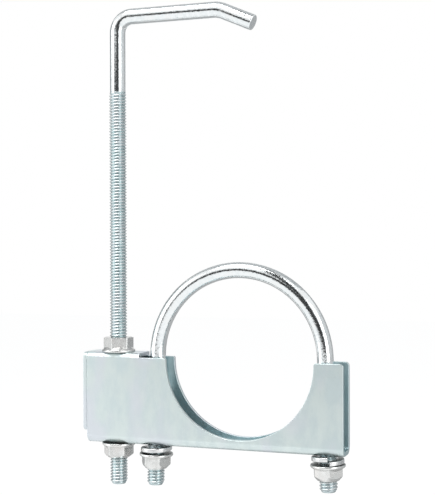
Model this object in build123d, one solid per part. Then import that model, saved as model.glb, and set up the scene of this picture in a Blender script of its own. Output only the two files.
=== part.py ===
from build123d import *
from math import cos, radians, sin, sqrt, tan
import os

# Exhaust pipe clamp with a hanger hook. All sizes are in millimetres.
# The origin is the pipe's axis at the middle of the saddle's width.
# X runs along the saddle, Y along the pipe and Z points up.

# Pipe and its seat in the saddle
pipe_diameter = 79.4
seat_clearance = 0.1

# Folded sheet of the saddle
sheet = 2.2
saddle_width = 15.0
top_edge_height = 1.0
metal_under_seat = 5.5
left_end = -87.5
right_end = 54.9
bottom_bend_inside = 2.2
flap_bend_inside = 0.7
free_corner_radius = 2.0
seat_corner_radius = 1.0
top_flap_reach = 14.9
end_flap_lift = 6.4
end_flap_drop = 0.1
end_flap_corner = 2.6
fold_gap = 0.1
height_tolerance = 0.01

# Rods and their threads, coarse thread of three eighths of an inch
rod_diameter = 8.4
thread_diameter = 9.3
thread_runout = 1.2
end_chamfer = 1.0
hole_clearance = 0.5

# U-bolt
bend_radius = 45.5
bend_height = 1.8
bend_offset = -1.4
leg_splay = 1.3
left_leg_end = -66.7
right_leg_end = -64.0
leg_thread_length = 36.0
draw_up = 6.0
draw_down = 3.4

# Hook bolt
hook_inset = 17.6
hook_bottom = -67.6
hook_thread_top = 142.8
arm_height = 182.9
arm_bend_radius = 8.2
tip_bend_x = -12.0
tip_bend_radius = 14.0
tip_slope = 24.0
tip_x = 6.7

# Flange nuts
nut_flats = 14.0
nut_height = 8.0
flange_diameter = 17.9
flange_rim = 1.2
flange_rise = 2.6
nut_face_radius = 5.6
nut_face_slope = 30.0
thread_play = 0.15
nut_gap = 0.05
upper_nut_turn = 29.3
lower_nut_turn = 14.0
left_nut_turn = 4.0
right_nut_turn = 47.0

# Split lock washers
washer_play = 0.35
washer_band = 3.3
washer_thickness = 2.3
washer_split = 8.0
left_washer_rise = 2.1
right_washer_rise = 2.2
left_split_turn = 100.0
right_split_turn = 290.0

# Sizes worked out from those above
seat_radius = pipe_diameter / 2 + seat_clearance
saddle_bottom = -seat_radius - metal_under_seat
top_flap_height = top_edge_height + sheet
side_plate_end = left_end + sheet
hook_x = left_end + hook_inset
top_flap_end = hook_x + top_flap_reach
half_width = saddle_width / 2
bottom_bend_outside = bottom_bend_inside + sheet
flap_bend_outside = flap_bend_inside + sheet
rod_radius = rod_diameter / 2
thread_radius = thread_diameter / 2
hole_radius = thread_radius + hole_clearance
washer_bore = thread_radius + washer_play


def leg_x(side, height):
    """Place of a leg's axis at a height; side is -1 for the left leg and 1 for the right."""
    start = bend_radius / cos(radians(leg_splay))
    return bend_offset + side * (start + (bend_height - height) * tan(radians(leg_splay)))


def leg_place(side, height, turn=0.0):
    """Location on a leg's axis with Z up along that axis and the given turn about it."""
    spot = Location((leg_x(side, height), 0, height))
    return spot * Location((0, 0, 0), (0, -side * leg_splay, 0)) * Location((0, 0, 0), (0, 0, turn))


def thread_body(length):
    """Outside of a thread up to its crests, from z = 0 up, chamfered below and run out above."""
    core = rod_radius - end_chamfer / 2
    outline = Polyline(
        (0, 0),
        (core, 0),
        (thread_radius, end_chamfer),
        (thread_radius, length - thread_runout),
        (rod_radius, length),
        (0, length),
        close=True,
    )
    return revolve(Plane.XZ * make_face(outline), Axis.Z)


def channel():
    """Bottom web with both side plates, rounded where the sheet is folded."""
    height = top_edge_height - saddle_bottom
    outside = Rectangle(saddle_width, height)
    outside = fillet(outside.vertices().group_by(Axis.Y)[0], bottom_bend_outside)
    inside = Pos(0, sheet) * Rectangle(saddle_width - 2 * sheet, height)
    inside = fillet(inside.vertices().group_by(Axis.Y)[0], bottom_bend_inside)
    profile = Plane.YZ.offset(side_plate_end) * Pos(0, saddle_bottom + height / 2) * (outside - inside)
    return extrude(profile, right_end - side_plate_end)


def top_flap():
    """Front plate carried on upwards and folded back over the channel onto the back plate."""
    foot = saddle_bottom + bottom_bend_outside
    outline = Polyline(
        (-half_width, foot),
        (-half_width, top_flap_height),
        (half_width, top_flap_height),
        (half_width, top_edge_height),
        (sheet - half_width, top_edge_height),
        (sheet - half_width, foot),
        close=True,
    )
    face = make_face(outline)
    corners = face.vertices()
    outer = corners.sort_by_distance((-half_width, top_flap_height))[0]
    inner = corners.sort_by_distance((sheet - half_width, top_edge_height))[0]
    face = fillet(outer, flap_bend_outside)
    inner = face.vertices().sort_by_distance(inner)[0]
    face = fillet(inner, flap_bend_inside)
    return extrude(Plane.YZ.offset(side_plate_end) * face, top_flap_end - side_plate_end)


def end_flap():
    """Back plate carried on to the left and folded round the end, up to the front face."""
    low = saddle_bottom + end_flap_lift
    high = top_flap_height - end_flap_drop
    start = side_plate_end + flap_bend_outside
    outline = Polyline(
        (start, half_width),
        (left_end, half_width),
        (left_end, -half_width),
        (side_plate_end - fold_gap, -half_width),
        (side_plate_end - fold_gap, half_width - sheet),
        (start, half_width - sheet),
        close=True,
    )
    face = make_face(outline)
    face = fillet(face.vertices().sort_by_distance((left_end, half_width))[0], flap_bend_outside)
    flap = extrude(Plane.XY.offset(low) * face, high - low)
    free_corners = flap.edges().filter_by(Axis.X).group_by(Axis.Y)[0]
    return fillet(free_corners, end_flap_corner)


def leg_hole(side):
    """Cutter for one leg's hole in the web, long enough for the splayed leg's whole travel."""
    reach = (draw_up + draw_down) * tan(radians(leg_splay)) + sheet * tan(radians(leg_splay))
    slot = SlotOverall(2 * hole_radius + reach, 2 * hole_radius)
    spot = Pos(leg_x(side, saddle_bottom + sheet / 2), 0, saddle_bottom - sheet)
    return spot * extrude(slot, 3 * sheet)


def hook_hole(height):
    """Cutter for the hook bolt's hole through a sheet whose underside is at the given height."""
    return Pos(hook_x, 0, height + sheet / 2) * Cylinder(hole_radius, 2 * sheet)


def seat_cutter():
    """Cylinder that cuts the pipe's seat in both side plates."""
    return Rot(90, 0, 0) * Cylinder(seat_radius, 2 * saddle_width)


def top_corners(body):
    """Corners of the side plates along their top edges, from left to right."""
    low = top_edge_height - height_tolerance
    high = top_edge_height + height_tolerance
    return body.edges().filter_by(Axis.Y).filter_by_position(Axis.Z, low, high).group_by(Axis.X)


def round_free_corners(body):
    """Round the corners at the open right end and where the seat meets the top edges."""
    body = fillet(top_corners(body)[-1], free_corner_radius)
    for group in (1, 2):
        body = fillet(top_corners(body)[group], seat_corner_radius)
    return body


def saddle():
    """Folded sheet with the pipe's seat, the two flaps at its left end and its holes."""
    body = round_free_corners(channel() - seat_cutter())
    body = body + top_flap() + end_flap()
    body -= hook_hole(saddle_bottom)
    body -= hook_hole(top_edge_height)
    for side in (-1, 1):
        body -= leg_hole(side)
    return body


def u_bolt():
    """Round rod bent to a half circle, with two splayed legs threaded at their ends."""
    ends = {-1: left_leg_end, 1: right_leg_end}
    bend_foot = bend_height + bend_radius * sin(radians(leg_splay))
    bend = CenterArc((bend_offset, bend_height), bend_radius, leg_splay, 180 - 2 * leg_splay)
    foot = {side: (leg_x(side, ends[side]), ends[side]) for side in (-1, 1)}
    left = Line(foot[-1], (leg_x(-1, bend_foot), bend_foot))
    right = Line(foot[1], (leg_x(1, bend_foot), bend_foot))
    path = Plane.XZ * Wire([left, bend, right])
    start = leg_place(-1, left_leg_end)
    rod = sweep(Plane(start) * Circle(rod_radius), path=path)
    for side in (-1, 1):
        rod += leg_place(side, ends[side]) * thread_body(leg_thread_length)
    return rod


def hook_bolt():
    """Long threaded rod bent over to an arm whose tip slopes down."""
    tip_z = arm_height - (tip_x - tip_bend_x) * tan(radians(tip_slope))
    points = ((hook_x, hook_bottom), (hook_x, arm_height), (tip_bend_x, arm_height), (tip_x, tip_z))
    path = Plane.XZ * FilletPolyline(*points, radius=[arm_bend_radius, tip_bend_radius])
    rod = sweep(Pos(hook_x, 0, hook_bottom) * Circle(rod_radius), path=path)
    thread = Pos(hook_x, 0, hook_bottom) * thread_body(hook_thread_top - hook_bottom)
    return rod + thread


def flange_nut():
    """Hexagon nut on its flange, with the flange's bearing face at z = 0 and the body above."""
    hexagon = extrude(RegularPolygon(nut_flats / 2, 6, major_radius=False), nut_height)
    corner = nut_flats / sqrt(3)
    tip = nut_height - (corner - nut_face_radius) * tan(radians(nut_face_slope))
    crown = Polyline(
        (0, 0),
        (corner, 0),
        (corner, tip),
        (nut_face_radius, nut_height),
        (0, nut_height),
        close=True,
    )
    hexagon = hexagon & revolve(Plane.XZ * make_face(crown), Axis.Z)
    skirt = Polyline(
        (0, 0),
        (flange_diameter / 2, 0),
        (flange_diameter / 2, flange_rim),
        (nut_flats / 2, flange_rise),
        (0, flange_rise),
        close=True,
    )
    flange = revolve(Plane.XZ * make_face(skirt), Axis.Z)
    bore = Cylinder(thread_radius + thread_play, 3 * nut_height)
    return hexagon + flange - bore


def split_washer(rise):
    """Spring washer cut through once, whose ends stand apart by the given rise, from z = 0 up."""
    turn = 360 - washer_split
    mean = washer_bore + washer_band / 2
    path = Helix(pitch=rise * 360 / turn, height=rise, radius=mean)
    section = Plane(path @ 0, x_dir=(1, 0, 0), z_dir=path % 0) * Rectangle(washer_band, washer_thickness)
    ring = sweep(section, path=path, is_frenet=True)
    return Pos(0, 0, washer_thickness / 2) * ring


def upside_down(shape):
    """Same shape with its top turned to the bottom."""
    return Rot(180, 0, 0) * shape


def washer_foot(rise):
    """Height of a sprung washer's lower face, where its tilted top just meets the saddle."""
    tilt = (washer_bore + washer_band) * sin(radians(leg_splay))
    return saddle_bottom - tilt - washer_thickness - rise


def leg_washer(side, rise, split_turn):
    """Lock washer against the web's underside round one leg."""
    return leg_place(side, washer_foot(rise), split_turn) * split_washer(rise)


def leg_nut(side, rise, turn):
    """Flange nut under the lock washer of one leg."""
    return leg_place(side, washer_foot(rise) - nut_gap, turn) * upside_down(flange_nut())


def hook_nut(height, turn):
    """Flange nut on the hook bolt with its flange face at the given height."""
    return Pos(hook_x, 0, height) * Rot(0, 0, turn) * flange_nut()


def nodes():
    """Every piece by its name."""
    lower = saddle_bottom - nut_gap
    return {
        "saddle": saddle(),
        "u_bolt": u_bolt(),
        "hook_bolt": hook_bolt(),
        "hook_upper_nut": hook_nut(top_flap_height + nut_gap, upper_nut_turn),
        "hook_lower_nut": Pos(hook_x, 0, lower) * Rot(0, 0, lower_nut_turn) * upside_down(flange_nut()),
        "left_lock_washer": leg_washer(-1, left_washer_rise, left_split_turn),
        "right_lock_washer": leg_washer(1, right_washer_rise, right_split_turn),
        "left_leg_nut": leg_nut(-1, left_washer_rise, left_nut_turn),
        "right_leg_nut": leg_nut(1, right_washer_rise, right_nut_turn),
    }


def main():
    """Write one file for each piece."""
    os.makedirs("parts", exist_ok=True)
    for name, shape in nodes().items():
        export_step(shape, f"parts/{name}.step")


main()
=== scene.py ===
"""Visual model of an exhaust pipe clamp with a folded saddle, a U-bolt and a hanger hook."""
import logging
import math
from collections.abc import Callable
from dataclasses import dataclass, field, replace
from enum import Enum
from functools import cached_property

import bmesh
import bpy
from mathutils import Matrix, Vector


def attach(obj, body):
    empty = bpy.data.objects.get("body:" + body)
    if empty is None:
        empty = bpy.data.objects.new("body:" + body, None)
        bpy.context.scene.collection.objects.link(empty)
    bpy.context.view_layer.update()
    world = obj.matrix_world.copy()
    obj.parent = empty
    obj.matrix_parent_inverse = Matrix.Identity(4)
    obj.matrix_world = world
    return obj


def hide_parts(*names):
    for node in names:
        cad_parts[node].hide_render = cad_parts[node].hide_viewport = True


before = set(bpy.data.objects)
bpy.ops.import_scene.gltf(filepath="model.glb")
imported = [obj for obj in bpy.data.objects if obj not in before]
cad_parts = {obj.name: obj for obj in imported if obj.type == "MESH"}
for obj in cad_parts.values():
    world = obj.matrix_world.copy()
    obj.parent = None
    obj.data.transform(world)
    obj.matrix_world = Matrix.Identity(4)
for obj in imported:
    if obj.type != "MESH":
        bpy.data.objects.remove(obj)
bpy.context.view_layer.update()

LOG = logging.getLogger("clamp")
MM = 0.001
PITCH = 1.5875

Piece = bpy.types.Object
Socket = bpy.types.NodeSocket
Triple = tuple[float, float, float]
PointTest = Callable[[Vector], bool]
PairTest = Callable[[Vector, Vector], bool]


class Side(Enum):
    """The two legs of the U-bolt, by the direction in which they lie along the saddle."""

    LEFT = -1
    RIGHT = 1


class Cut(Enum):
    """Ways in which one solid acts on another."""

    UNION = "UNION"
    DIFFERENCE = "DIFFERENCE"
    INTERSECT = "INTERSECT"


def mm(*values: float) -> tuple[float, ...]:
    """Turn lengths in millimetres into metres."""
    return tuple(value * MM for value in values)


class Bench:
    """Hand tools that shape one mesh at a time."""

    MERGE_REACH = 0.004
    PLANE_ANGLE = 0.6

    @staticmethod
    def clear() -> None:
        """Leave edit mode and select nothing."""
        if bpy.context.object is not None and bpy.context.object.mode != "OBJECT":
            bpy.ops.object.mode_set(mode="OBJECT")
        bpy.ops.object.select_all(action="DESELECT")

    @staticmethod
    def hold(*pieces: Piece) -> None:
        """Select only these pieces and make the first one active.

        Args:
            pieces: Objects to select.
        """
        Bench.clear()
        for piece in pieces:
            piece.select_set(True)
        bpy.context.view_layer.objects.active = pieces[0]

    @staticmethod
    def edit(piece: Piece) -> None:
        """Open a piece in edit mode with all of it selected.

        Args:
            piece: Object to open.
        """
        Bench.hold(piece)
        bpy.ops.object.mode_set(mode="EDIT")
        bpy.ops.mesh.select_mode(type="VERT")
        bpy.ops.mesh.select_all(action="SELECT")

    @staticmethod
    def named(name: str) -> Piece:
        """Take the new active object, name it and bring its place into its mesh.

        Args:
            name: Name for the object and its mesh.

        Returns:
            The named object.
        """
        piece = bpy.context.object
        piece.name = name
        piece.data.name = name
        bpy.ops.object.transform_apply(location=True, rotation=True, scale=True)
        return piece

    @staticmethod
    def place(piece: Piece, matrix: Matrix) -> Piece:
        """Move a piece by a matrix that goes into its mesh.

        Args:
            piece: Object to move.
            matrix: Movement in metres.

        Returns:
            The same object.
        """
        Bench.hold(piece)
        piece.matrix_world = matrix
        bpy.ops.object.transform_apply(location=True, rotation=True, scale=True)
        return piece

    @staticmethod
    def pick_points(piece: Piece, test: PointTest) -> None:
        """Select in edit mode the points that pass a test, with what lies between them.

        Args:
            piece: Object in edit mode.
            test: Tells for a point in millimetres whether it is taken.
        """
        bpy.ops.mesh.select_mode(type="VERT")
        bpy.ops.mesh.select_all(action="DESELECT")
        shape = bmesh.from_edit_mesh(piece.data)
        for point in shape.verts:
            point.select = test(point.co / MM)
        shape.select_flush(True)
        bmesh.update_edit_mesh(piece.data)

    @staticmethod
    def pick_faces(piece: Piece, test: PairTest) -> None:
        """Select in edit mode the faces that pass a test.

        Args:
            piece: Object in edit mode.
            test: Tells from a face's centre in millimetres and its normal whether it is taken.
        """
        bpy.ops.mesh.select_mode(type="FACE")
        bpy.ops.mesh.select_all(action="DESELECT")
        shape = bmesh.from_edit_mesh(piece.data)
        for face in shape.faces:
            face.select = test(face.calc_center_median() / MM, face.normal)
        bmesh.update_edit_mesh(piece.data)

    @staticmethod
    def pick_edges(piece: Piece, test: PairTest, only_open: bool = False) -> None:
        """Select in edit mode the edges whose two ends pass a test.

        Args:
            piece: Object in edit mode.
            test: Tells from an edge's two ends in millimetres whether it is taken.
            only_open: Whether only edges with a face on one side are taken.
        """
        bpy.ops.mesh.select_mode(type="EDGE")
        bpy.ops.mesh.select_all(action="DESELECT")
        shape = bmesh.from_edit_mesh(piece.data)
        for edge in shape.edges:
            fits = edge.is_boundary or not only_open
            edge.select = fits and test(edge.verts[0].co / MM, edge.verts[1].co / MM)
        bmesh.update_edit_mesh(piece.data)

    @staticmethod
    def modify(piece: Piece, kind: str, **settings: object) -> None:
        """Work on a piece with a modifier and make the result its own mesh.

        Args:
            piece: Object to work on.
            kind: Kind of modifier.
            settings: The modifier's settings.
        """
        modifier = piece.modifiers.new(kind.lower(), kind)
        for key, value in settings.items():
            setattr(modifier, key, value)
        Bench.hold(piece)
        bpy.ops.object.modifier_apply(modifier=modifier.name)

    @staticmethod
    def combine(piece: Piece, tool: Piece, way: Cut) -> Piece:
        """Let a second solid act on a piece, and remove that solid.

        Args:
            piece: Object that is kept.
            tool: Solid that acts on it.
            way: Union, difference or intersection.

        Returns:
            The kept object.
        """
        Bench.modify(piece, "BOOLEAN", operation=way.value, solver="EXACT", object=tool)
        bpy.data.objects.remove(tool)
        return piece

    @staticmethod
    def screw(piece: Piece, angle: float, rise: float, steps: int, times: int = 1) -> None:
        """Sweep an outline round the Z axis while it rises.

        Args:
            piece: Outline that becomes the swept surface.
            angle: Angle of one sweep in degrees.
            rise: Height in millimetres that one sweep gains.
            steps: Number of steps in one sweep.
            times: Number of sweeps, one on top of the other.
        """
        Bench.modify(
            piece,
            "SCREW",
            axis="Z",
            angle=math.radians(angle),
            screw_offset=rise * MM,
            steps=steps,
            render_steps=steps,
            iterations=times,
        )

    @staticmethod
    def tidy(piece: Piece) -> None:
        """Merge doubled points and point every face outwards.

        Args:
            piece: Object to tidy.
        """
        Bench.edit(piece)
        bpy.ops.mesh.remove_doubles(threshold=Bench.MERGE_REACH * MM)
        bpy.ops.mesh.normals_make_consistent(inside=False)
        Bench.clear()

    @staticmethod
    def flatten(piece: Piece) -> None:
        """Join the faces that lie in one plane.

        Args:
            piece: Object to simplify.
        """
        Bench.edit(piece)
        bpy.ops.mesh.dissolve_limited(angle_limit=math.radians(Bench.PLANE_ANGLE))
        Bench.clear()

    @staticmethod
    def soften(
        piece: Piece,
        width: float,
        angle: float,
        segments: int,
        spare: PairTest = lambda first, second: False,
    ) -> None:
        """Round the sharp edges of a piece a little.

        Args:
            piece: Object to work on.
            width: Width of the rounding in millimetres.
            angle: Angle in degrees from which an edge counts as sharp.
            segments: Number of steps across the rounding.
            spare: Tells from an edge's two ends, in millimetres, whether it is left sharp.
        """
        Bench.edit(piece)
        bpy.ops.mesh.select_mode(type="EDGE")
        bpy.ops.mesh.select_all(action="DESELECT")
        bpy.ops.mesh.edges_select_sharp(sharpness=math.radians(angle))
        bpy.ops.object.mode_set(mode="OBJECT")
        points = piece.data.vertices
        for edge in piece.data.edges:
            first, second = (points[index].co / MM for index in edge.vertices)
            edge.select = edge.select and not spare(first, second)
        bpy.ops.object.mode_set(mode="EDIT")
        bpy.ops.transform.edge_bevelweight(value=1.0)
        bpy.ops.object.mode_set(mode="OBJECT")
        settings = {"segments": segments, "limit_method": "WEIGHT", "use_clamp_overlap": False}
        Bench.modify(piece, "BEVEL", width=width * MM, **settings)

    @staticmethod
    def shade(piece: Piece, angle: float) -> None:
        """Shade a piece smoothly up to an angle.

        Args:
            piece: Object to shade.
            angle: Angle in degrees past which an edge stays crisp.
        """
        Bench.hold(piece)
        bpy.ops.object.shade_smooth_by_angle(angle=math.radians(angle))
        Bench.modify(piece, "WEIGHTED_NORMAL", keep_sharp=True)

    @staticmethod
    def join(first: Piece, *others: Piece) -> None:
        """Make several objects one, under the first one's name."""
        Bench.hold(first, *others)
        bpy.ops.object.join()

    @staticmethod
    def cone(name: str, radii: tuple[float, float], low: float, high: float, sides: int = 96) -> Piece:
        """Make an upright round solid on the Z axis, for cutting or joining.

        Args:
            name: Name of the object.
            radii: Radius at its foot and at its top in millimetres.
            low: Height of its foot in millimetres.
            high: Height of its top in millimetres.
            sides: Number of sides.

        Returns:
            The solid.
        """
        Bench.clear()
        bpy.ops.mesh.primitive_cone_add(
            vertices=sides,
            radius1=radii[0] * MM,
            radius2=radii[1] * MM,
            depth=(high - low) * MM,
            location=mm(0, 0, (low + high) / 2),
        )
        return Bench.named(name)

    @staticmethod
    def block(name: str, low: Triple, high: Triple) -> Piece:
        """Make a box between two corners, for shaping or cutting.

        Args:
            name: Name of the object.
            low: Lowest corner in millimetres.
            high: Highest corner in millimetres.

        Returns:
            The box.
        """
        Bench.clear()
        centre = [(a + b) / 2 for a, b in zip(low, high)]
        size = [b - a for a, b in zip(low, high)]
        bpy.ops.mesh.primitive_cube_add(size=1.0, location=mm(*centre), scale=mm(*size))
        return Bench.named(name)


class Graph:
    """Short ways to lay out the nodes of a material or of the surroundings."""

    def __init__(self, tree: bpy.types.NodeTree) -> None:
        """Start with an empty tree.

        Args:
            tree: Node tree that is emptied and laid out anew.
        """
        self.tree = tree
        self.tree.nodes.clear()

    @staticmethod
    def material(name: str) -> tuple[bpy.types.Material, "Graph"]:
        """Start a material.

        Args:
            name: Name of the material.

        Returns:
            The material and the graph of its nodes.
        """
        material = bpy.data.materials.new(name)
        material.use_nodes = True
        return material, Graph(material.node_tree)

    def node(self, kind: str, inputs: dict[str | int, object], **options: object) -> bpy.types.Node:
        """Add a node.

        Args:
            kind: Kind of node, without the first words that all kinds share.
            inputs: For each socket a plain value, or another node's socket that leads to it.
            options: The node's own options.

        Returns:
            The node.
        """
        node = self.tree.nodes.new(f"ShaderNode{kind}")
        for key, value in options.items():
            setattr(node, key, value)
        for key, value in inputs.items():
            if isinstance(value, Socket):
                self.tree.links.new(value, node.inputs[key])
            else:
                node.inputs[key].default_value = value
        return node

    @cached_property
    def place(self) -> Socket:
        """Socket with the object coordinates."""
        return self.node("TexCoord", {}).outputs["Object"]

    def stretched(self, scale: Triple) -> Socket:
        """Object coordinates in millimetres, stretched along the axes.

        Args:
            scale: Factor along each axis.

        Returns:
            The socket with the stretched place.
        """
        factors = [value / MM for value in scale]
        return self.node("Mapping", {"Vector": self.place, "Scale": factors}).outputs["Vector"]

    def noise(self, scale: Triple, detail: float, rough: float = 0.55) -> Socket:
        """Cloudy pattern.

        Args:
            scale: Features per millimetre along each axis.
            detail: Number of finer layers.
            rough: Strength of the finer layers.

        Returns:
            The socket with values round one half.
        """
        inputs = {"Vector": self.stretched(scale), "Scale": 1.0, "Detail": detail, "Roughness": rough}
        return self.node("TexNoise", inputs).outputs["Fac"]

    def cells(self, scale: float) -> Socket:
        """Distance from the nearest of many scattered points.

        Args:
            scale: Points per millimetre.

        Returns:
            The socket with the distance.
        """
        inputs = {"Vector": self.stretched((scale, scale, scale)), "Scale": 1.0}
        return self.node("TexVoronoi", inputs).outputs["Distance"]

    def span(self, value: Socket, source: tuple[float, float], target: tuple[float, float]) -> Socket:
        """Map a value from one range to another, clamped.

        Args:
            value: Socket with the value.
            source: Low and high end of the incoming range.
            target: What those ends become.

        Returns:
            The socket with the mapped value.
        """
        inputs = dict(zip(("From Min", "From Max", "To Min", "To Max"), (*source, *target)))
        inputs["Value"] = value
        return self.node("MapRange", inputs, interpolation_type="SMOOTHSTEP").outputs["Result"]

    def tint(self, amount: Socket, low: Socket | Triple, high: Socket | Triple) -> Socket:
        """Blend two colours.

        Args:
            amount: Socket with the share of the second colour.
            low: First colour or its socket.
            high: Second colour or its socket.

        Returns:
            The socket with the blended colour.
        """
        first, second = (item if isinstance(item, Socket) else (*item, 1.0) for item in (low, high))
        return self.node("Mix", {"Factor": amount, 6: first, 7: second}, data_type="RGBA").outputs[2]

    def arithmetic(self, kind: str, first: Socket, second: Socket | float) -> Socket:
        """Combine two values by the named operation."""
        return self.node("Math", {0: first, 1: second}, operation=kind).outputs[0]

    def relief(self, height: Socket, depth: float, strength: float, under: Socket | None = None) -> Socket:
        """Turn a height into a bumped normal.

        Args:
            height: Socket with the height.
            depth: Height of the relief in millimetres.
            strength: Strength of the relief.
            under: Normal that this relief lies on.

        Returns:
            The socket with the normal.
        """
        inputs = {"Distance": depth * MM, "Strength": strength, "Height": height}
        if under is not None:
            inputs["Normal"] = under
        return self.node("Bump", inputs).outputs["Normal"]

    def edges(self, radius: float) -> Socket:
        """Find the edges, as a value that is 0 on flat metal and rises at edges.

        Args:
            radius: Width of the edge zone in millimetres.

        Returns:
            The socket with the edge value.
        """
        rounded = self.node("Bevel", {"Radius": radius * MM}, samples=6).outputs["Normal"]
        plain = self.node("NewGeometry", {}).outputs["Normal"]
        likeness = self.node("VectorMath", {0: rounded, 1: plain}, operation="DOT_PRODUCT")
        return self.span(likeness.outputs["Value"], (1.0, 0.86), (0.0, 1.0))

    def white_rays(self) -> Socket:
        """Add up the rays to which the background shows white.

        Returns:
            The socket that is 1 for such rays.
        """
        rays = self.node("LightPath", {})
        total = rays.outputs["Is Camera Ray"]
        for name in ("Is Glossy Ray", "Is Transmission Ray"):
            total = self.arithmetic("MAXIMUM", total, rays.outputs[name])
        return total

    def close(self, surface: Socket, kind: str = "Material") -> None:
        """Lead a surface to the output of a material or of the world."""
        self.node(f"Output{kind}", {"Surface": surface})


@dataclass(frozen=True)
class ZincFinish:
    """Zinc plate on steel: its tones, its cloudiness, its gloss and its fine relief."""

    name: str
    slot: str
    pale: Triple
    deep: Triple
    warm: Triple
    edge: Triple
    cloud: Triple
    grain: Triple
    gloss: tuple[float, float]
    ripple: Triple
    ripple_depth: float
    grain_depth: float
    edge_width: float = 0.3

    def material(self) -> bpy.types.Material:
        """Build the finish.

        Returns:
            The material.
        """
        material, graph = Graph.material(self.name)
        cloud = graph.noise(self.cloud, 4.0)
        broad = graph.noise(tuple(value * 0.35 for value in self.cloud), 2.0)
        fine = graph.noise(self.grain, 2.0, 0.6)
        ripple = graph.noise(self.ripple, 3.0, 0.6)
        base = graph.tint(graph.span(cloud, (0.35, 0.65), (0.0, 1.0)), self.pale, self.deep)
        base = graph.tint(graph.span(broad, (0.45, 0.62), (0.0, 0.8)), base, self.warm)
        specks = graph.span(graph.cells(1.1), (0.03, 0.10), (0.35, 0.0))
        base = graph.tint(specks, base, self.deep)
        base = graph.tint(graph.edges(self.edge_width), base, self.edge)
        rough = graph.span(graph.arithmetic("MULTIPLY", cloud, fine), (0.12, 0.42), self.gloss)
        normal = graph.relief(ripple, self.ripple_depth, 1.0)
        normal = graph.relief(fine, self.grain_depth, 0.6, normal)
        inputs = {"Base Color": base, "Roughness": rough, "Normal": normal, "Metallic": 1.0}
        graph.close(graph.node("BsdfPrincipled", inputs).outputs["BSDF"])
        return material


SHEET_ZINC = ZincFinish(
    name="satin_zinc_sheet",
    slot="saddle_zinc",
    pale=(0.73, 0.82, 0.81),
    deep=(0.645, 0.74, 0.75),
    warm=(0.73, 0.765, 0.82),
    edge=(0.84, 0.90, 0.90),
    cloud=(0.13, 0.13, 0.06),
    grain=(1.6, 1.6, 0.5),
    gloss=(0.36, 0.50),
    ripple=(0.10, 0.10, 0.10),
    ripple_depth=0.05,
    grain_depth=0.006,
)
# Painted shade: a darker, more teal copy of the sheet finish for the channel's inner faces, standing in
# for the shade inside the channel.
INNER_SHADE_ZINC = replace(
    SHEET_ZINC,
    name="inner_sheet_painted_shade",
    pale=(0.52, 0.67, 0.69),
    deep=(0.44, 0.60, 0.63),
    warm=(0.50, 0.63, 0.66),
    edge=(0.62, 0.70, 0.71),
    cloud=(0.09, 0.09, 0.05),
    gloss=(0.40, 0.52),
)
ROD_ZINC = ZincFinish(
    name="bright_zinc_rod",
    slot="rod_zinc",
    pale=(0.87, 0.90, 0.91),
    deep=(0.80, 0.84, 0.85),
    warm=(0.85, 0.87, 0.87),
    edge=(0.90, 0.92, 0.92),
    cloud=(0.5, 0.5, 0.5),
    grain=(2.2, 2.2, 2.2),
    gloss=(0.05, 0.13),
    ripple=(0.9, 0.9, 0.9),
    ripple_depth=0.085,
    grain_depth=0.014,
)
THREAD_ZINC = ZincFinish(
    name="rolled_zinc_thread",
    slot="rod_zinc",
    pale=(0.76, 0.81, 0.82),
    deep=(0.64, 0.71, 0.72),
    warm=(0.74, 0.77, 0.78),
    edge=(0.84, 0.88, 0.88),
    cloud=(0.35, 0.35, 0.35),
    grain=(2.4, 2.4, 2.4),
    gloss=(0.20, 0.34),
    ripple=(0.8, 0.8, 0.8),
    ripple_depth=0.02,
    grain_depth=0.008,
    edge_width=0.12,
)
# Darker finish for the thread's roots: partly the zinc's own darker tone in the hollows, partly painted
# shade in the grooves.
ROOT_TONE_AND_SHADE = replace(
    THREAD_ZINC,
    name="thread_root_tone_and_shade",
    pale=(0.58, 0.68, 0.69),
    deep=(0.46, 0.56, 0.58),
    warm=(0.56, 0.62, 0.64),
    edge=(0.60, 0.70, 0.71),
    gloss=(0.34, 0.48),
    edge_width=0.05,
)
NUT_ZINC = ZincFinish(
    name="zinc_nut",
    slot="nut_zinc",
    pale=(0.82, 0.83, 0.82),
    deep=(0.72, 0.73, 0.72),
    warm=(0.80, 0.785, 0.77),
    edge=(0.90, 0.91, 0.90),
    cloud=(0.3, 0.3, 0.3),
    grain=(2.5, 2.5, 2.5),
    gloss=(0.20, 0.34),
    ripple=(0.5, 0.5, 0.5),
    ripple_depth=0.03,
    grain_depth=0.01,
)
WASHER_ZINC = ZincFinish(
    name="bright_zinc_washer",
    slot="washer_zinc",
    pale=(0.86, 0.87, 0.87),
    deep=(0.66, 0.68, 0.69),
    warm=(0.78, 0.78, 0.78),
    edge=(0.93, 0.93, 0.93),
    cloud=(0.4, 0.4, 0.4),
    grain=(1.6, 1.6, 1.6),
    gloss=(0.14, 0.30),
    ripple=(0.6, 0.6, 0.6),
    ripple_depth=0.05,
    grain_depth=0.012,
)
# Painted shade: a dark finish for bearing faces, standing in for the shade in the narrow gaps between
# washers, nuts and the saddle.
PAINTED_GAP_SHADE = ZincFinish(
    name="bearing_face_painted_shade",
    slot="washer_zinc",
    pale=(0.28, 0.30, 0.30),
    deep=(0.18, 0.20, 0.20),
    warm=(0.26, 0.26, 0.25),
    edge=(0.40, 0.41, 0.41),
    cloud=(0.3, 0.3, 0.3),
    grain=(2.2, 2.2, 2.2),
    gloss=(0.40, 0.55),
    ripple=(0.5, 0.5, 0.5),
    ripple_depth=0.02,
    grain_depth=0.01,
    edge_width=0.1,
)


def paint(piece: Piece, finish: ZincFinish, test: PairTest) -> None:
    """Give some faces of a piece a finish of their own.

    Args:
        piece: Finished object.
        finish: Finish of the chosen faces.
        test: Tells from a face's centre in millimetres and its normal whether it is chosen.
    """
    piece.data.materials.append(bpy.data.materials.get(finish.name) or finish.material())
    index = len(piece.data.materials) - 1
    for face in piece.data.polygons:
        if test(face.center / MM, face.normal):
            face.material_index = index


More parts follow.
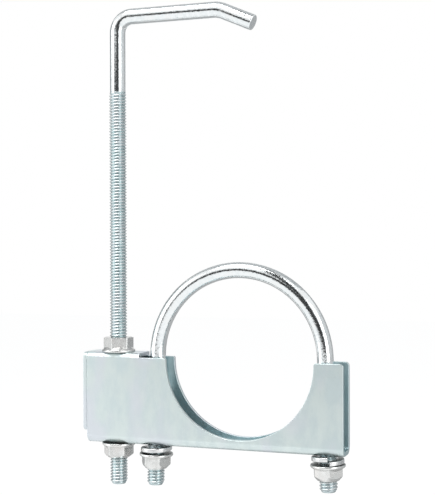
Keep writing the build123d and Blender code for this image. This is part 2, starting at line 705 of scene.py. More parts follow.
def dress(piece: Piece, finish: ZincFinish, node: str, body: str) -> None:
    """Give a finished piece its material and its place in the frame.

    Args:
        piece: Finished object.
        finish: Finish of its surface.
        node: Frame node that it stands for.
        body: Body that it moves with.
    """
    piece.data.materials.clear()
    paint(piece, finish, lambda centre, normal: True)
    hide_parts(node)
    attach(piece, body)
    LOG.info("%s: %d faces on %s", piece.name, len(piece.data.polygons), body)


@dataclass
class Thread:
    """Right-hand rolled thread, drawn as one turn of its outline screwed up the axis."""

    root: float = 3.86
    crest: float = 4.65
    rounding: float = 0.07
    steps: int = 36
    low_flank: float = 4.24
    end_face: float = 0.95

    def is_root(self, reach: float, normal: Vector) -> bool:
        """Tell whether a face this far from the axis lies low in the thread, not on the rod's end."""
        return reach < self.low_flank and abs(normal.z) < self.end_face

    def outline(self, name: str, growth: float, height: float) -> Piece:
        """Draw one pitch of the thread's side, from root to root.

        Args:
            name: Name of the object.
            growth: Distance in millimetres by which the outline stands outside the thread.
            height: Height of the outline's foot in millimetres.

        Returns:
            An object with the outline's points and edges.
        """
        low, high = self.root + growth, self.crest + growth
        rising = (
            (low, 0.0),
            (low + self.rounding, 0.11),
            ((low + high) / 2, 0.25),
            (high - self.rounding, 0.38),
        )
        falling = [(radius, 1 - share) for radius, share in reversed(rising)]
        shape = (*rising, (high, 0.5), *falling)
        places = [Vector(mm(radius, 0, height + share * PITCH)) for radius, share in shape]
        Bench.clear()
        bpy.ops.mesh.primitive_plane_add(size=MM, location=places[0])
        piece = Bench.named(name)
        Bench.edit(piece)
        bpy.ops.mesh.merge(type="CENTER")
        for start, end in zip(places, places[1:]):
            bpy.ops.mesh.extrude_region_move(TRANSFORM_OT_translate={"value": end - start})
        Bench.clear()
        return piece

    def helix(self, name: str, first: int, last: int, growth: float = 0.0) -> Piece:
        """Screw the outline from one whole turn of the axis to another.

        Args:
            name: Name of the object.
            first: Number of the first turn, counted from the rod's end.
            last: Number of the last turn.
            growth: Distance in millimetres by which the thread is made larger.

        Returns:
            The thread's side, open at both ends.
        """
        piece = self.outline(name, growth, first * PITCH)
        Bench.screw(piece, 360, PITCH, self.steps, last - first)
        Bench.tidy(piece)
        for point in piece.data.vertices:
            point.co = [round(value, 8) for value in point.co]
        return piece

    @staticmethod
    def trim(piece: Piece, low: float, high: float, close_top: bool) -> None:
        """Cut a thread square at both ends and close its foot.

        Args:
            piece: Thread on the Z axis.
            low: Height of the lower cut in millimetres.
            high: Height of the upper cut in millimetres.
            close_top: Whether the upper end is closed too.
        """
        Bench.edit(piece)
        for height, direction, close in ((low, -1, True), (high, 1, close_top)):
            bpy.ops.mesh.bisect(
                plane_co=mm(0, 0, height),
                plane_no=(0, 0, direction),
                clear_outer=True,
                use_fill=close,
                threshold=1e-7,
            )
            bpy.ops.mesh.select_all(action="SELECT")
        bpy.ops.mesh.normals_make_consistent(inside=False)
        Bench.clear()


@dataclass
class ThreadedEnd:
    """Threaded length at a rod's end, with its narrowed tip and its run-out into the bar."""

    length: float
    bar_radius: float = 4.2
    thread: Thread = field(default_factory=Thread)
    tip_radius: float = 3.75
    tip_length: float = 0.7
    tip_rounding: float = 0.35
    tip_slope: float = 0.85
    runout: float = 1.6
    top_gap: float = 0.25

    def shaped_radius(self, radius: float, height: float) -> float:
        """Radius of a point of the thread after its two ends are shaped.

        Args:
            radius: Radius of the plain thread at the point, in millimetres.
            height: Height of the point above the rod's end.

        Returns:
            The shaped radius in millimetres.
        """
        top = self.length - self.top_gap
        fade = min(max((top - height) / self.runout, 0.0), 1.0)
        radius = self.bar_radius + (radius - self.bar_radius) * fade
        limit = self.tip_radius + max(height - self.tip_length, 0.0) * self.tip_slope
        if height < self.tip_length:
            limit -= self.tip_rounding * (1 - height / self.tip_length) ** 2
        return min(radius, limit)

    def build(self, name: str, place: Matrix) -> Piece:
        """Make the threaded length and set it in place, open where the bar goes on.

        Args:
            name: Name of the object.
            place: Place of the rod's end, with Z up along the rod.

        Returns:
            The threaded length.
        """
        piece = self.thread.helix(name, -1, math.ceil(self.length / PITCH) + 1)
        for point in piece.data.vertices:
            radius = math.hypot(point.co.x, point.co.y)
            factor = self.shaped_radius(radius / MM, point.co.z / MM) * MM / radius
            point.co.x *= factor
            point.co.y *= factor
        self.thread.trim(piece, 0.0, self.length - self.top_gap, close_top=False)
        return Bench.place(piece, place)


@dataclass
class RoundBar:
    """Drawn bar: a circle pushed along straight runs and turned round bends."""

    radius: float = 4.2
    sides: int = 36
    step_angle: float = 2.0
    joint_reach: float = 7.0

    def start(self, name: str, place: Matrix) -> Piece:
        """Draw the first circle and open it for shaping.

        Args:
            name: Name of the object.
            place: Place of the circle, with Z along the bar.

        Returns:
            The object, in edit mode with the circle selected.
        """
        Bench.clear()
        bpy.ops.mesh.primitive_circle_add(vertices=self.sides, radius=self.radius * MM)
        piece = Bench.place(Bench.named(name), place)
        Bench.edit(piece)
        return piece

    @staticmethod
    def run(offset: Vector, pieces: int) -> None:
        """Push the bar on by an offset in millimetres, in a number of equal steps."""
        for _ in range(pieces):
            bpy.ops.mesh.extrude_region_move(TRANSFORM_OT_translate={"value": offset * MM / pieces})

    def bend(self, centre: Triple, angle: float) -> None:
        """Turn the bar about +Y, by an angle in degrees, round a centre in millimetres."""
        steps = max(round(abs(angle) / self.step_angle), 4)
        bpy.ops.mesh.spin(steps=steps, angle=-math.radians(angle), center=mm(*centre), axis=(0, 1, 0))

    def bridge(self, piece: Piece, middle: Vector) -> None:
        """Close the narrow gap between two open loops that lie close together.

        Args:
            piece: Object with the two loops.
            middle: Place between them in millimetres.
        """
        reach = self.joint_reach
        Bench.edit(piece)
        Bench.pick_edges(
            piece,
            lambda a, b: max((a - middle).length, (b - middle).length) < reach,
            only_open=True,
        )
        bpy.ops.mesh.bridge_edge_loops()
        Bench.clear()

    @staticmethod
    def finish(piece: Piece, name: str) -> Piece:
        """Name and shade a bolt whose bar and threads are joined.

        Args:
            piece: Bar with its threads.
            name: Name of the finished object.

        Returns:
            The same object.
        """
        piece.name = name
        Bench.tidy(piece)
        Bench.shade(piece, 40)
        return piece


@dataclass
class UBolt:
    """Round bar bent to a half circle, with two splayed legs that are threaded at their ends."""

    bend_radius: float = 45.5
    bend_height: float = 1.8
    bend_offset: float = -1.4
    splay: float = 1.3
    left_end: float = -66.7
    right_end: float = -64.0
    thread_length: float = 36.0
    bar: RoundBar = field(default_factory=RoundBar)
    thread: Thread = field(default_factory=Thread)

    def leg_x(self, side: Side, height: float) -> float:
        """Place of a leg's axis along the saddle.

        Args:
            side: Which leg.
            height: Height at which the place is wanted, in millimetres.

        Returns:
            The place along X in millimetres.
        """
        splay = math.radians(self.splay)
        start = self.bend_radius / math.cos(splay)
        return self.bend_offset + side.value * (start + (self.bend_height - height) * math.tan(splay))

    def is_thread(self, centre: Vector, normal: Vector) -> bool:
        """Tell whether a face of the finished bolt lies on a threaded length."""
        return centre.z < self.left_end + self.thread_length

    def is_root(self, centre: Vector, normal: Vector) -> bool:
        """Tell whether a face of the finished bolt lies low in the thread.

        Args:
            centre: Middle of the face in millimetres.
            normal: Its direction.

        Returns:
            True in the lower half of the thread's depth.
        """
        side = Side.LEFT if centre.x < 0 else Side.RIGHT
        reach = math.hypot(centre.x - self.leg_x(side, centre.z), centre.y)
        return self.is_thread(centre, normal) and self.thread.is_root(reach, normal)

    def leg_place(self, side: Side, height: float, turn: float = 0.0) -> Matrix:
        """Place on a leg's axis with Z up along that axis.

        Args:
            side: Which leg.
            height: Height of the place in millimetres.
            turn: Turn about the leg's axis in degrees.

        Returns:
            The place in metres.
        """
        spot = Matrix.Translation(mm(self.leg_x(side, height), 0, height))
        tilt = Matrix.Rotation(math.radians(-side.value * self.splay), 4, "Y")
        return spot @ tilt @ Matrix.Rotation(math.radians(turn), 4, "Z")

    def build(self) -> Piece:
        """Make the whole bolt.

        Returns:
            The finished object.
        """
        foot = self.bend_height + self.bend_radius * math.sin(math.radians(self.splay))
        along = Matrix.Translation(mm(0, 0, self.thread_length))
        ends = {Side.LEFT: self.left_end, Side.RIGHT: self.right_end}
        tops = {side: self.leg_place(side, end) @ along for side, end in ends.items()}
        feet = {side: Vector((self.leg_x(side, foot), 0, foot)) for side in Side}
        piece = self.bar.start("u_bolt_bar", tops[Side.LEFT])
        self.bar.run(feet[Side.LEFT] - tops[Side.LEFT].translation / MM, 4)
        self.bar.bend((self.bend_offset, 0, self.bend_height), 180 - 2 * self.splay)
        self.bar.run(tops[Side.RIGHT].translation / MM - feet[Side.RIGHT], 4)
        Bench.clear()
        threads = [
            ThreadedEnd(self.thread_length).build(f"leg_{side.name.lower()}", self.leg_place(side, end))
            for side, end in ends.items()
        ]
        Bench.join(piece, *threads)
        for matrix in tops.values():
            self.bar.bridge(piece, matrix.translation / MM)
        return self.bar.finish(piece, "u_bolt_rod")


@dataclass
class HookBolt:
    """Long threaded rod bent over to a level arm whose tip slopes down."""

    x: float = -69.9
    bottom: float = -67.6
    thread_top: float = 142.8
    arm_height: float = 182.9
    arm_bend: float = 8.2
    tip_bend_x: float = -12.0
    tip_bend: float = 14.0
    tip_slope: float = 24.0
    tip_x: float = 6.7
    rim: float = 0.5
    bar: RoundBar = field(default_factory=RoundBar)
    thread: Thread = field(default_factory=Thread)

    def is_thread(self, centre: Vector, normal: Vector) -> bool:
        """Tell whether a face of the finished bolt lies on the threaded length."""
        return centre.z < self.thread_top

    def is_root(self, centre: Vector, normal: Vector) -> bool:
        """Tell whether a face of the finished bolt lies low in the thread."""
        reach = math.hypot(centre.x - self.x, centre.y)
        return self.is_thread(centre, normal) and self.thread.is_root(reach, normal)

    def place(self, height: float, turn: float = 0.0) -> Matrix:
        """Place on the rod's axis, at a height in millimetres and turned about it in degrees."""
        return Matrix.Translation(mm(self.x, 0, height)) @ Matrix.Rotation(math.radians(turn), 4, "Z")

    def build(self) -> Piece:
        """Make the whole bolt.

        Returns:
            The finished object.
        """
        slope = math.radians(self.tip_slope)
        ahead = Vector((math.cos(slope), 0, -math.sin(slope)))
        tangent = self.tip_bend * math.tan(slope / 2)
        arm_end = self.tip_bend_x - tangent
        tip_length = (self.tip_x - self.tip_bend_x) / math.cos(slope) - tangent
        piece = self.bar.start("hook_bar", self.place(self.thread_top))
        self.bar.run(Vector((0, 0, self.arm_height - self.arm_bend - self.thread_top)), 3)
        self.bar.bend((self.x + self.arm_bend, 0, self.arm_height - self.arm_bend), 90)
        self.bar.run(Vector((arm_end - self.x - self.arm_bend, 0, 0)), 5)
        self.bar.bend((arm_end, 0, self.arm_height - self.tip_bend), self.tip_slope)
        self.bar.run(ahead * (tip_length - self.rim), 2)
        self.close_tip(ahead)
        Bench.clear()
        threaded = ThreadedEnd(self.thread_top - self.bottom).build("hook_thread", self.place(self.bottom))
        Bench.join(piece, threaded)
        self.bar.bridge(piece, Vector((self.x, 0, self.thread_top)))
        return self.bar.finish(piece, "hook_rod")

    def close_tip(self, ahead: Vector) -> None:
        """Close the arm's end with a narrow rounded rim round a flat face.

        Args:
            ahead: Direction of the tip.
        """
        for share, factor in ((0.4, 0.985), (0.4, 0.955), (0.2, 0.93)):
            self.bar.run(ahead * self.rim * share, 1)
            bpy.ops.transform.resize(value=(factor, factor, factor))
        bpy.ops.mesh.edge_face_add()


@dataclass
class FlangeNut:
    """Hexagon nut on a round flange, bored with a thread that runs with its bolt's."""

    flats: float = 14.0
    height: float = 8.0
    flange_radius: float = 8.95
    flange_inset: float = 0.3
    flange_rim: float = 1.2
    flange_rise: float = 2.6
    face_radius: float = 5.6
    thread_play: float = 0.15
    thread: Thread = field(default_factory=Thread)

    def blank(self, name: str, slope: float) -> Piece:
        """Make the nut without its bore, standing on its flange at the origin.

        Args:
            name: Name of the object.
            slope: Slope in degrees of the chamfer round its free face.

        Returns:
            The solid.
        """
        Bench.clear()
        bpy.ops.mesh.primitive_cylinder_add(
            vertices=6,
            radius=self.flats / math.sqrt(3) * MM,
            depth=self.height * MM,
            location=mm(0, 0, self.height / 2),
            rotation=(0, 0, math.radians(30)),
        )
        nut = Bench.named(name)
        Bench.soften(nut, 0.35, 40, 3)
        spread = self.height / math.tan(math.radians(slope))
        crown = Bench.cone("nut_crown", (self.face_radius + spread, self.face_radius), 0, self.height)
        Bench.combine(nut, crown, Cut.INTERSECT)
        return Bench.combine(nut, self.flange(), Cut.UNION)

    def flange(self) -> Piece:
        """Make the flange with its rounded rim and sloped upper side.

        Returns:
            The solid.
        """
        last_height, last_radius = 0.0, self.flange_radius - self.flange_inset
        disc = Bench.cone("nut_flange", (last_radius, last_radius), last_height, 0.001)
        Bench.edit(disc)
        Bench.pick_faces(disc, lambda centre, normal: normal.z > 0.5)
        levels = (
            (0.12, self.flange_radius - 0.08),
            (0.35, self.flange_radius),
            (self.flange_rim - 0.3, self.flange_radius),
            (self.flange_rim, self.flange_radius - 0.18),
            (self.flange_rise, self.flats / 2),
        )
        for height, radius in levels:
            lift = {"value": mm(0, 0, height - last_height)}
            bpy.ops.mesh.extrude_region_move(TRANSFORM_OT_translate=lift)
            factor = radius / last_radius
            bpy.ops.transform.resize(value=(factor, factor, 1.0))
            last_height, last_radius = height, radius
        Bench.clear()
        return disc

    def open_bore(self, nut: Piece) -> None:
        """Cut the two cones that lead into the bore.

        Args:
            nut: Nut without its bore.
        """
        bore = self.thread.crest + self.thread_play
        wide, narrow = bore + 0.55, bore - 0.35
        below = ((wide, narrow), -0.4, 0.25)
        above = ((narrow, wide), self.height - 0.25, self.height + 0.4)
        for radii, low, high in (below, above):
            Bench.combine(nut, Bench.cone("nut_countersink", radii, low, high, 64), Cut.DIFFERENCE)

    def build(self, name: str, slope: float, place: Matrix, bolt_place: Matrix, end: float) -> Piece:
        """Make the nut in place, with a threaded bore that matches its bolt.

        Args:
            name: Name of the object.
            slope: Slope in degrees of the chamfer round its free face.
            place: Place of the bearing face, with Z towards the nut's body.
            bolt_place: Place of the bolt's end, with Z along the bolt.
            end: Distance in millimetres from the bolt's end to the nut's nearer face.

        Returns:
            The finished object.
        """
        nut = self.blank(name, slope)
        self.open_bore(nut)
        Bench.tidy(nut)
        Bench.flatten(nut)
        Bench.soften(nut, 0.12, 28, 2)
        Bench.place(nut, place)
        first = math.floor(end / PITCH) - 1
        last = math.ceil((end + self.height) / PITCH) + 1
        cutter = self.thread.helix("nut_thread", first, last, self.thread_play)
        self.thread.trim(cutter, (first + 1) * PITCH, (last - 1) * PITCH, close_top=True)
        Bench.combine(nut, Bench.place(cutter, bolt_place), Cut.DIFFERENCE)
        Bench.shade(nut, 32)
        return nut


@dataclass
class LockWasher:
    """Spring washer cut through once, whose two ends stand apart in height."""

    rise: float
    bore: float = 5.0
    band: float = 3.3
    thickness: float = 2.3
    rounding: float = 0.45
    split: float = 8.0
    steps: int = 88

    def build(self, name: str, place: Matrix) -> Piece:
        """Make the washer in place.

        Args:
            name: Name of the object.
            place: Place of its lowest point on the leg's axis.

        Returns:
            The finished object.
        """
        thin = 0.0001
        high = (self.bore + self.band, thin, self.thickness)
        piece = Bench.block(name, (self.bore, -thin, 0.0), high)
        Bench.edit(piece)
        Bench.pick_faces(piece, lambda centre, normal: normal.y < 0.5)
        bpy.ops.mesh.delete(type="FACE")
        bpy.ops.mesh.select_all(action="SELECT")
        bpy.ops.mesh.bevel(offset=self.rounding * MM, segments=4, affect="VERTICES")
        bpy.ops.mesh.delete(type="ONLY_FACE")
        Bench.clear()
        Bench.screw(piece, 360 - self.split, self.rise, self.steps)
        Bench.edit(piece)
        bpy.ops.mesh.select_mode(type="EDGE")
        bpy.ops.mesh.select_all(action="DESELECT")
        bpy.ops.mesh.select_non_manifold()
        bpy.ops.mesh.edge_face_add()
        Bench.clear()
        Bench.tidy(piece)
        Bench.shade(piece, 35)
        return Bench.place(piece, place)


@dataclass
class Saddle:
    """Folded sheet: a channel with the pipe's seat, a top flap and an end flap at the left."""

    sheet: float = 2.2
    half_width: float = 7.5
    left: float = -87.5
    plate_left: float = -85.3
    right: float = 54.9
    top: float = 1.0
    bottom: float = -45.3
    seat_radius: float = 39.8
    bottom_bend: float = 4.4
    flap_bend: float = 2.9
    flap_end: float = -55.0
    flap_top: float = 3.2
    end_flap_low: float = -38.9
    end_flap_high: float = 3.1
    end_flap_corner: float = 2.6
    corner: float = 2.0
    seat_corner: float = 1.0
    hole: float = 5.15
    fold_gap: float = 0.1
    slack: float = 0.03

    def folded(
        self, name: str, box: tuple[Triple, Triple], keep: PointTest, fold: PairTest, radius: float
    ) -> Piece:
        """Fold a sheet from the kept sides of a box.

        Args:
            name: Name of the object.
            box: Lowest and highest corner of the sheet's outside in millimetres.
            keep: Tells from a side's normal whether the sheet has that side.
            fold: Tells from an edge's two ends whether the sheet is folded there.
            radius: Outside radius of the fold in millimetres.

        Returns:
            The sheet as a solid.
        """
        piece = Bench.block(name, *box)
        Bench.edit(piece)
        Bench.pick_faces(piece, lambda centre, normal: not keep(normal))
        bpy.ops.mesh.delete(type="FACE")
        Bench.pick_edges(piece, fold)
        bpy.ops.mesh.bevel(offset=radius * MM, segments=8, profile=0.5, affect="EDGES")
        Bench.clear()
        Bench.modify(piece, "SOLIDIFY", thickness=self.sheet * MM, offset=-1.0, use_even_offset=True)
        return piece

    def channel(self) -> Piece:
        """Fold the channel: both side plates and the web.

        Returns:
            The channel.
        """
        low = (self.plate_left, -self.half_width, self.bottom)
        return self.folded(
            "saddle_sheet",
            (low, (self.right, self.half_width, self.top)),
            lambda normal: abs(normal.y) > 0.5 or normal.z < -0.5,
            lambda a, b: abs(a.x - b.x) > 1 and max(a.z, b.z) < self.bottom + 1,
            self.bottom_bend,
        )

    def top_flap(self) -> Piece:
        """Fold the front plate back over the channel.

        Returns:
            The flap with the part of the front plate below it.
        """
        low = (self.plate_left, -self.half_width, self.bottom + self.bottom_bend)
        return self.folded(
            "saddle_top_flap",
            (low, (self.flap_end, self.half_width, self.flap_top)),
            lambda normal: normal.y < -0.5 or normal.z > 0.5,
            lambda a, b: abs(a.x - b.x) > 1 and min(a.z, b.z) > 0 and max(a.y, b.y) < 0,
            self.flap_bend,
        )

    def end_flap(self) -> Piece:
        """Fold the back plate round the channel's left end.

        Returns:
            The flap.
        """
        start = self.plate_left + self.flap_bend
        low = (self.left, -self.half_width, self.end_flap_low)
        flap = self.folded(
            "saddle_end_flap",
            (low, (start, self.half_width, self.end_flap_high)),
            lambda normal: normal.x < -0.5 or normal.y > 0.5,
            lambda a, b: abs(a.z - b.z) > 1 and max(a.x, b.x) < start - 1 and min(a.y, b.y) > 0,
            self.flap_bend,
        )
        Bench.edit(flap)
        bend = self.half_width - self.sheet - 0.5
        Bench.pick_points(flap, lambda point: abs(point.x - self.plate_left) < 0.01 and point.y < bend)
        bpy.ops.transform.translate(value=mm(-self.fold_gap, 0, 0))
        Bench.pick_edges(flap, lambda a, b: abs(a.x - b.x) > 1 and max(a.y, b.y) < 0)
        corner = self.end_flap_corner * MM
        bpy.ops.mesh.bevel(offset=corner, segments=6, profile=0.5, affect="EDGES")
        Bench.clear()
        return flap

    def round_corners(self, piece: Piece) -> None:
        """Round the corners at the open right end and where the seat meets the top edges.

        Args:
            piece: Channel with its seat.
        """
        reach = math.sqrt(self.seat_radius**2 - self.top**2)
        for places, radius in (((self.right,), self.corner), ((-reach, reach), self.seat_corner)):
            Bench.edit(piece)
            Bench.pick_edges(
                piece,
                lambda a, b: max(abs(a.z - self.top), abs(b.z - self.top)) < 0.01
                and abs(a.y - b.y) > 1
                and min(abs(a.x - place) for place in places) < 0.3
                and abs(a.x - b.x) < 0.1,
            )
            bpy.ops.mesh.bevel(offset=radius * MM, segments=6, profile=0.5, affect="EDGES")
            Bench.clear()

    def press_flat(self, piece: Piece) -> None:
        """Bring the points that the rounding pushed out of the sheet back onto it.

        Args:
            piece: The saddle.
        """
        sides = (
            (0, -1, self.left),
            (1, -1, -self.half_width),
            (1, 1, self.half_width),
            (2, 1, self.flap_top),
        )
        Bench.edit(piece)
        for axis, way, limit in sides:
            Bench.pick_points(piece, lambda point: way * (point[axis] - limit) > self.slack)
            stretch, middle = [1.0, 1.0, 1.0], [0.0, 0.0, 0.0]
            stretch[axis], middle[axis] = 0.0, limit
            bpy.ops.transform.resize(value=stretch, center_override=mm(*middle))
        Bench.pick_points(piece, lambda point: point.z < self.bottom - self.slack)
        bpy.ops.mesh.dissolve_verts()
        Bench.clear()

    def is_fold_end(self, first: Vector, second: Vector) -> bool:
        """Tell whether an edge lies where a fold ends against the front plate's top.

        Args:
            first: One end of the edge in millimetres.
            second: Its other end.

        Returns:
            True where the sheet meets itself too closely for a rounded edge.
        """
        middle = (first + second) / 2
        at_flap = abs(middle.x - self.flap_end) < 0.6 and middle.y < -4.0 and middle.z > -1.5
        at_corner = abs(middle.x - self.plate_left) < 0.7 and middle.y > 3.8 and middle.z > 2.2
        return at_flap or at_corner

    def is_inner(self, centre: Vector, normal: Vector) -> bool:
        """Tell whether a face lies inside the channel, where the sheet gets painted shade.

        Args:
            centre: Middle of the face in millimetres.
            normal: Direction in which it looks; not used.

        Returns:
            Whether it is one of the channel's inner faces.
        """
        play = 0.05
        inside = abs(centre.y) < self.half_width - self.sheet + play
        deep = self.bottom + self.sheet - play < centre.z < self.top - play
        return inside and deep and centre.x > self.plate_left - 1

    def build(self, u_bolt: UBolt, hook: HookBolt) -> Piece:
        """Make the saddle with its holes.

        Args:
            u_bolt: Bolt whose legs pass through the web.
            hook: Bolt that passes through the web and the top flap.

        Returns:
            The finished object.
        """
        piece = self.channel()
        seat = Bench.cone("seat", (self.seat_radius, self.seat_radius), -20, 20, 240)
        quarter = Matrix.Rotation(math.radians(90), 4, "X")
        Bench.combine(piece, Bench.place(seat, quarter), Cut.DIFFERENCE)
        Bench.tidy(piece)
        self.round_corners(piece)
        Bench.combine(piece, self.top_flap(), Cut.UNION)
        Bench.combine(piece, self.end_flap(), Cut.UNION)
        web = self.bottom + self.sheet / 2
        holes = [(hook.x, self.top + 6), *((u_bolt.leg_x(side, web), self.bottom + 4) for side in Side)]
        for x, high in holes:
            drill = Bench.cone("drill", (self.hole, self.hole), self.bottom - 1, high, 64)
            Bench.combine(piece, Bench.place(drill, Matrix.Translation(mm(x, 0, 0))), Cut.DIFFERENCE)
        Bench.tidy(piece)
        Bench.flatten(piece)
        Bench.soften(piece, 0.3, 32, 3, self.is_fold_end)
        self.press_flat(piece)
        Bench.shade(piece, 35)
        piece.name = "saddle_fold"
        return piece


@dataclass
class Clamp:
    """The whole clamp: saddle and bolts, with the nuts and washers that hold them."""

    saddle: Saddle = field(default_factory=Saddle)
    u_bolt: UBolt = field(default_factory=UBolt)
    hook: HookBolt = field(default_factory=HookBolt)
    nut: FlangeNut = field(default_factory=FlangeNut)
    gap: float = 0.05
    upper_chamfer: float = 12.0
    upper_turn: float = 29.3
    lower_chamfer: float = 38.0
    lower_turn: float = 14.0
    leg_chamfer: float = 48.0

    @staticmethod
    def faces_along(centre: Vector, normal: Vector) -> bool:
        """Tell whether a washer's face is one of its two flat ones, which get painted shade."""
        return abs(normal.z) > 0.9

    @staticmethod
    def faces_up(centre: Vector, normal: Vector) -> bool:
        """Tell whether a hanging nut's face is the one that bears on what is above it, which gets painted
        shade.
        """
        return normal.z > 0.9

    def build_bolts(self) -> None:
        """Make the saddle and the two bolts that pass through it."""
        made = self.saddle.build(self.u_bolt, self.hook)
        dress(made, SHEET_ZINC, "saddle", "saddle")
        # Painted shade on the channel's inner faces.
        paint(made, INNER_SHADE_ZINC, self.saddle.is_inner)
        for bolt, node in ((self.u_bolt, "u_bolt"), (self.hook, "hook_bolt")):
            made = bolt.build()
            dress(made, ROD_ZINC, node, node)
            paint(made, THREAD_ZINC, bolt.is_thread)
            # Darker thread roots: partly the zinc's own tone, partly painted shade.
            paint(made, ROOT_TONE_AND_SHADE, bolt.is_root)

    def build_hook_nuts(self, over: Matrix) -> None:
        """Make the two nuts that hold the hook bolt in the saddle.

        Args:
            over: Turn that hangs a nut under what it bears on.
        """
        upper = self.saddle.flap_top + self.gap
        lower = self.saddle.bottom - self.gap
        end = self.hook.place(self.hook.bottom)
        place = self.hook.place(upper, self.upper_turn)
        made = self.nut.build("upper_nut", self.upper_chamfer, place, end, upper - self.hook.bottom)
        dress(made, NUT_ZINC, "hook_upper_nut", "hook_upper_nut")
        place = self.hook.place(lower, self.lower_turn) @ over
        reach = lower - self.nut.height - self.hook.bottom
        made = self.nut.build("lower_nut", self.lower_chamfer, place, end, reach)
        dress(made, NUT_ZINC, "hook_lower_nut", "hook_lower_nut")
        # Painted shade on the nut's bearing face, for the shade in the gap under the saddle.
        paint(made, PAINTED_GAP_SHADE, self.faces_up)

    def build_leg(
        self, side: Side, end: float, rise: float, turns: tuple[float, float], over: Matrix
    ) -> None:
        """Make the lock washer and the nut on one leg of the U-bolt.

        Args:
            side: Which leg.
            end: Height of the leg's end in millimetres.
            rise: Height in millimetres by which the washer's two ends stand apart.
            turns: Turn of the washer and of the nut about the leg in degrees.
            over: Turn that hangs a nut under what it bears on.
        """
        name = side.name.lower()
        splay = math.radians(self.u_bolt.splay)
        washer = LockWasher(rise)
        tilt = (washer.bore + washer.band) * math.sin(splay)
        foot = self.saddle.bottom - tilt - washer.thickness - rise
        made = washer.build(f"{name}_washer", self.u_bolt.leg_place(side, foot, turns[0]))
        dress(made, WASHER_ZINC, f"{name}_lock_washer", "saddle")
        # Painted shade on both flat faces of the washer, for the shade in the gaps beside it.
        paint(made, PAINTED_GAP_SHADE, self.faces_along)
        place = self.u_bolt.leg_place(side, foot - self.gap, turns[1]) @ over
        bolt_end = self.u_bolt.leg_place(side, end)
        reach = (foot - self.gap - end) / math.cos(splay) - self.nut.height
        made = self.nut.build(f"{name}_nut", self.leg_chamfer, place, bolt_end, reach)
        dress(made, NUT_ZINC, f"{name}_leg_nut", f"{name}_leg_nut")
        # Painted shade on the nut's bearing face, for the shade in the gap under the washer.
        paint(made, PAINTED_GAP_SHADE, self.faces_up)

    def build(self) -> None:
        """Make the clamp piece by piece."""
        over = Matrix.Rotation(math.pi, 4, "X")
        self.build_bolts()
        self.build_hook_nuts(over)
        self.build_leg(Side.LEFT, self.u_bolt.left_end, 2.1, (100.0, 4.0), over)
        self.build_leg(Side.RIGHT, self.u_bolt.right_end, 2.2, (290.0, 47.0), over)


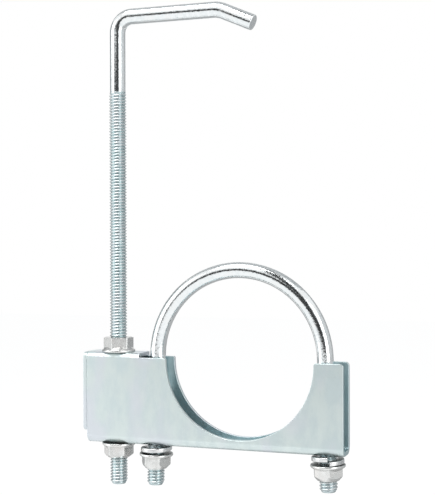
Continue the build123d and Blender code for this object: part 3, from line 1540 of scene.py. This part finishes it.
@dataclass
class Studio:
    """Pale floor, soft lamps, white surroundings and the camera of the photograph's view."""

    floor_height: float = -0.185
    eye: Triple = (0.1737, -0.5268, 0.05898)
    roll: float = 0.0033
    azimuth: float = 0.341
    lens: float = 78.04

    def camera(self) -> None:
        """Set the camera at the photograph's viewing angle."""
        lens = bpy.data.cameras.new("view")
        lens.sensor_fit = "AUTO"
        lens.sensor_width = 36.0
        lens.lens = self.lens
        holder = bpy.data.objects.new("view", lens)
        bpy.context.scene.collection.objects.link(holder)
        holder.location = self.eye
        holder.rotation_euler = (math.pi / 2, self.roll, self.azimuth)
        bpy.context.scene.camera = holder

    @staticmethod
    def world() -> None:
        """Fill the surroundings with plain light that shows white to the camera and in metal."""
        world = bpy.data.worlds.new("surroundings")
        bpy.context.scene.world = world
        world.use_nodes = True
        graph = Graph(world.node_tree)
        unseen = graph.node("Background", {"Color": (0.95, 0.98, 1.0, 1), "Strength": 0.55})
        seen = graph.node("Background", {"Color": (1, 1, 1, 1), "Strength": 1.0})
        shares = {0: graph.white_rays(), 1: unseen.outputs[0], 2: seen.outputs[0]}
        graph.close(graph.node("MixShader", shares).outputs[0], "World")

    def floor(self) -> None:
        """Lay a plain pale floor that looks white and keeps soft shadows."""
        Bench.clear()
        bpy.ops.mesh.primitive_plane_add(size=6.0, location=(0, 0, self.floor_height))
        floor = bpy.context.object
        floor.name = "floor"
        material, graph = Graph.material("floor")
        paint = graph.node("BsdfDiffuse", {"Color": (0.82, 0.83, 0.84, 1)})
        glow = graph.node("Emission", {"Strength": 1.08})
        amount = graph.arithmetic("MULTIPLY", graph.white_rays(), 0.86)
        mix = graph.node("MixShader", {0: amount, 1: paint.outputs[0], 2: glow.outputs[0]})
        graph.close(mix.outputs[0])
        floor.data.materials.append(material)

    @staticmethod
    def aim(holder: Piece, place: Triple, front: str) -> None:
        """Set an object in place and turn it to the clamp.

        Args:
            holder: Object to aim.
            place: Its place in metres.
            front: Its own axis that looks at the clamp.
        """
        holder.location = place
        ahead = Vector((-0.02, 0, 0.04)) - holder.location
        holder.rotation_euler = ahead.to_track_quat(front, "Y").to_euler()

    @staticmethod
    def lamp(name: str, place: Triple, size: tuple[float, float], power: float) -> None:
        """Hang a soft rectangular lamp that looks at the clamp.

        Args:
            name: Name of the lamp.
            place: Its place in metres.
            size: Its width and height in metres.
            power: Its power in watts.
        """
        data = bpy.data.lights.new(name, "AREA")
        data.shape = "RECTANGLE"
        data.size, data.size_y = size
        data.energy = power
        holder = bpy.data.objects.new(name, data)
        bpy.context.scene.collection.objects.link(holder)
        Studio.aim(holder, place, "-Z")

    @staticmethod
    def card(name: str, place: Triple, size: tuple[float, float], shade: float) -> None:
        """Stand a plain card that shows only in the metal's reflections.

        Args:
            name: Name of the card.
            place: Its middle in metres.
            size: Its width and height in metres.
            shade: Brightness of its face.
        """
        Bench.clear()
        bpy.ops.mesh.primitive_plane_add(size=1.0)
        card = bpy.context.object
        card.name = name
        card.scale = (*size, 1.0)
        Studio.aim(card, place, "Z")
        material = bpy.data.materials.new(name)
        material.use_nodes = True
        shader = material.node_tree.nodes["Principled BSDF"]
        shader.inputs["Base Color"].default_value = (shade, shade, shade, 1)
        shader.inputs["Roughness"].default_value = 1.0
        card.data.materials.append(material)
        card.visible_camera = False
        card.visible_shadow = False
        card.visible_diffuse = False

    def build(self) -> None:
        """Set up the whole studio."""
        self.camera()
        self.world()
        self.floor()
        self.lamp("right_lamp", (0.85, -0.55, 0.25), (0.45, 0.9), 2.5)
        self.lamp("left_lamp", (-0.90, -0.55, 0.20), (0.45, 0.9), 2.5)
        self.lamp("top_lamp", (-0.05, -0.42, 0.85), (0.9, 0.6), 7.0)
        self.card("front_wall", (0.04, -0.90, 0.14), (1.24, 0.42), 0.05)
        self.card("right_wall", (1.05, 0.35, 0.25), (1.25, 0.90), 0.80)
        self.card("back_wall", (0.34, 0.94, 0.25), (0.90, 0.90), 0.52)
        self.card("left_wall", (-1.05, 0.40, 0.25), (1.00, 0.90), 0.42)
        self.card("ceiling", (-0.15, 0.42, 0.92), (1.60, 1.10), 0.62)
        self.card("table_edge", (0.0, 0.05, -0.18), (1.40, 0.90), 0.45)
        self.card("camera_stand", (0.15, -0.57, 0.51), (0.38, 0.78), 0.06)
        self.card("ceiling_beam", (0.14, -0.16, 0.80), (0.18, 0.34), 0.06)


def main() -> None:
    """Set up the studio and build the clamp in it."""
    logging.basicConfig(level=logging.INFO, format="%(name)s %(message)s")
    bpy.context.scene.view_settings.view_transform = "Standard"
    Studio().build()
    Clamp().build()


if __name__ == "__main__":
    main()
